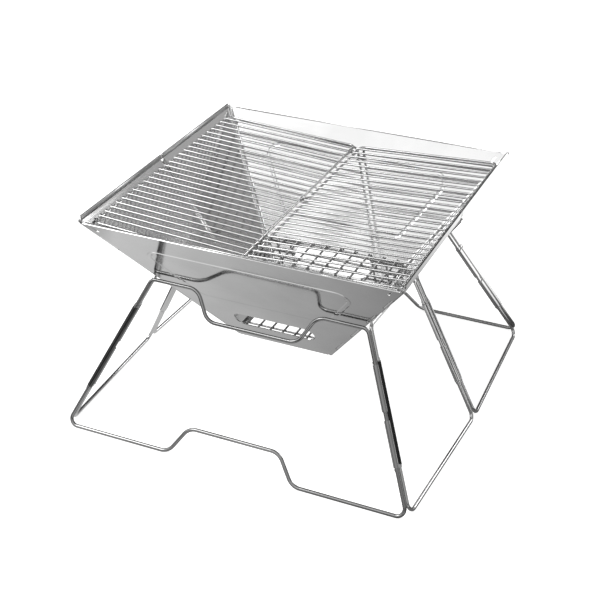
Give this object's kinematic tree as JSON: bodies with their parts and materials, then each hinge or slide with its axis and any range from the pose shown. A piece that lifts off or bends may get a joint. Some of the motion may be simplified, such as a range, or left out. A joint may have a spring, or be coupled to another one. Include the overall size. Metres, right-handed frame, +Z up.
{
  "type": "folding camp grill",
  "caption": "Folding charcoal grill: an inverted pyramid sheet-steel firebox in a folding wire stand, with a hinged two-part cooking grate.",
  "frame": {"origin": "on the floor, in the middle of the stand", "axes": "+Z up, +X to the right across the wider way of the stand, +Y to the back"},
  "size_m": [0.4578, 0.4354, 0.2742],
  "materials": {
    "stand_wire": "polished stainless steel wire",
    "sleeve_steel": "polished stainless steel sheet",
    "firebox_steel": "bright rolled stainless steel sheet",
    "pin_steel": "drawn stainless steel rod",
    "grate_wire": "bright stainless steel wire",
    "mesh_wire": "stainless steel wire"
  },
  "bodies": {
    "stand_front": {"stand_front_wire": "stand_wire", "sleeve_front_left": "sleeve_steel", "sleeve_front_right": "sleeve_steel"},
    "stand_right_front": {"stand_right_front_wire": "stand_wire"},
    "stand_mid_right": {"sleeve_mid_right": "sleeve_steel"},
    "stand_right_rear": {"stand_right_rear_wire": "stand_wire"},
    "stand_rear": {"stand_rear_wire": "stand_wire", "sleeve_rear_left": "sleeve_steel", "sleeve_rear_right": "sleeve_steel"},
    "stand_left_front": {"stand_left_front_wire": "stand_wire"},
    "stand_mid_left": {"sleeve_mid_left": "sleeve_steel"},
    "stand_left_rear": {"stand_left_rear_wire": "stand_wire", "sleeve_mid_left_rings": "sleeve_steel"},
    "firebox_front": {"firebox_front_plate": "firebox_steel", "hinge_pin_front_left": "pin_steel", "hinge_pin_front_right": "pin_steel"},
    "firebox_right_front": {"firebox_right_front_plate": "firebox_steel", "hinge_pin_mid_right": "pin_steel"},
    "firebox_right_rear": {"firebox_right_rear_plate": "firebox_steel"},
    "firebox_rear": {"firebox_rear_plate": "firebox_steel", "hinge_pin_rear_left": "pin_steel", "hinge_pin_rear_right": "pin_steel"},
    "firebox_left_front": {"firebox_left_front_plate": "firebox_steel", "hinge_pin_mid_left": "pin_steel"},
    "firebox_left_rear": {"firebox_left_rear_plate": "firebox_steel"},
    "grate_left": {"grate_left_frame": "grate_wire", "grate_left_bars": "grate_wire"},
    "grate_clips": {"grate_clips": "grate_wire"},
    "grate_right": {"grate_right_frame": "grate_wire", "grate_right_bars": "grate_wire"},
    "charcoal_grate": {"charcoal_grate_frame": "mesh_wire", "charcoal_grate_cross_wires": "mesh_wire", "charcoal_grate_long_wires": "mesh_wire"},
    "ember_grate": {"ember_grate_frame": "mesh_wire", "ember_grate_cross_wires": "mesh_wire", "ember_grate_long_wires": "mesh_wire"}
  },
  "joints": [
    {"name": "stand_fold", "type": "hinge", "parent": "stand_front", "child": "stand_right_front", "pos_m": [0.219, -0.2075, 0.00225], "axis": [-0.3895, 0.3833, 0.8375], "range_deg": [0, 100]},
    {"name": "mid_right_sleeve_turn", "type": "hinge", "parent": "stand_right_front", "child": "stand_mid_right", "pos_m": [0.227, -0.004, 0.00225], "axis": [-0.4342, 0, 0.9008], "range_deg": [-90.51, 0]},
    {"name": "right_rear_turn", "type": "hinge", "parent": "stand_mid_right", "child": "stand_right_rear", "pos_m": [0.227, 0.004, 0.00225], "axis": [-0.4342, 0, 0.9008], "range_deg": [-90.51, 0]},
    {"name": "stand_rear_turn", "type": "hinge", "parent": "stand_right_rear", "child": "stand_rear", "pos_m": [0.219, 0.2075, 0.00225], "axis": [-0.3895, -0.3833, 0.8375], "range_deg": [0, 100.01]},
    {"name": "left_front_turn", "type": "hinge", "parent": "stand_front", "child": "stand_left_front", "pos_m": [-0.219, -0.2075, 0.00225], "axis": [-0.3895, -0.3833, -0.8375], "range_deg": [0, 100.01]},
    {"name": "mid_left_sleeve_turn", "type": "hinge", "parent": "stand_left_front", "child": "stand_mid_left", "pos_m": [-0.227, -0.004, 0.00225], "axis": [-0.4342, 0, -0.9008], "range_deg": [-90.51, 0]},
    {"name": "left_rear_turn", "type": "hinge", "parent": "stand_rear", "child": "stand_left_rear", "pos_m": [-0.219, 0.2075, 0.00225], "axis": [-0.3895, 0.3833, -0.8375], "range_deg": [-100.01, 0]},
    {"name": "firebox_lift", "type": "slide", "parent": "stand_front", "child": "firebox_front", "axis": [0, 0, 1], "range_m": [0, 0.3491]},
    {"name": "firebox_fold", "type": "hinge", "parent": "firebox_front", "child": "firebox_right_front", "pos_m": [0.0608, -0.05837, 0.0835], "axis": [0.5073, -0.487, 0.711], "range_deg": [0, 106]},
    {"name": "right_seam_turn", "type": "hinge", "parent": "firebox_right_front", "child": "firebox_right_rear", "pos_m": [0.06357, 0, 0.08153], "axis": [0.5808, 0, 0.814], "range_deg": [-174.91, 0]},
    {"name": "firebox_rear_turn", "type": "hinge", "parent": "firebox_right_rear", "child": "firebox_rear", "pos_m": [0.0608, 0.05837, 0.0835], "axis": [0.5073, 0.487, 0.711], "range_deg": [0, 106.01]},
    {"name": "firebox_left_turn", "type": "hinge", "parent": "firebox_front", "child": "firebox_left_front", "pos_m": [-0.0608, -0.05837, 0.0835], "axis": [0.5073, 0.487, -0.711], "range_deg": [0, 106.01]},
    {"name": "firebox_left_rear_turn", "type": "hinge", "parent": "firebox_rear", "child": "firebox_left_rear", "pos_m": [-0.0608, 0.05837, 0.0835], "axis": [0.5073, -0.487, -0.711], "range_deg": [-106.01, 0]},
    {"name": "grate_lift", "type": "slide", "parent": "firebox_front", "child": "grate_left", "axis": [0, 0, 1], "range_m": [0, 0.9806]},
    {"name": "charcoal_grate_lift", "type": "slide", "parent": "firebox_front", "child": "charcoal_grate", "axis": [0, 0, 1], "range_m": [0, 0.8511]},
    {"name": "ember_grate_lift", "type": "slide", "parent": "firebox_front", "child": "ember_grate", "axis": [0, 0, 1], "range_m": [0, 0.7771]},
    {"name": "grate_fold", "type": "hinge", "parent": "grate_left", "child": "grate_clips", "pos_m": [-0.004, 0, 0.2515], "axis": [0, -1, 0], "range_deg": [0, 86.5]},
    {"name": "clip_turn", "type": "hinge", "parent": "grate_clips", "child": "grate_right", "pos_m": [0.004, 0, 0.2515], "axis": [0, -1, 0], "range_deg": [0, 86.51]}
  ],
  "couplings": [
    {"joint": "mid_right_sleeve_turn", "follows": "stand_fold", "ratio": -0.905},
    {"joint": "right_rear_turn", "follows": "stand_fold", "ratio": -0.905},
    {"joint": "stand_rear_turn", "follows": "stand_fold", "ratio": 1},
    {"joint": "left_front_turn", "follows": "stand_fold", "ratio": 1},
    {"joint": "mid_left_sleeve_turn", "follows": "stand_fold", "ratio": -0.905},
    {"joint": "left_rear_turn", "follows": "stand_fold", "ratio": -1},
    {"joint": "firebox_lift", "follows": "stand_fold", "m_per_rad": 0.2},
    {"joint": "right_seam_turn", "follows": "firebox_fold", "ratio": -1.65},
    {"joint": "firebox_rear_turn", "follows": "firebox_fold", "ratio": 1},
    {"joint": "firebox_left_turn", "follows": "firebox_fold", "ratio": 1},
    {"joint": "firebox_left_rear_turn", "follows": "firebox_fold", "ratio": -1},
    {"joint": "grate_lift", "follows": "firebox_fold", "m_per_rad": 0.53},
    {"joint": "charcoal_grate_lift", "follows": "firebox_fold", "m_per_rad": 0.46},
    {"joint": "ember_grate_lift", "follows": "firebox_fold", "m_per_rad": 0.42},
    {"joint": "clip_turn", "follows": "grate_fold", "ratio": 1}
  ]
}
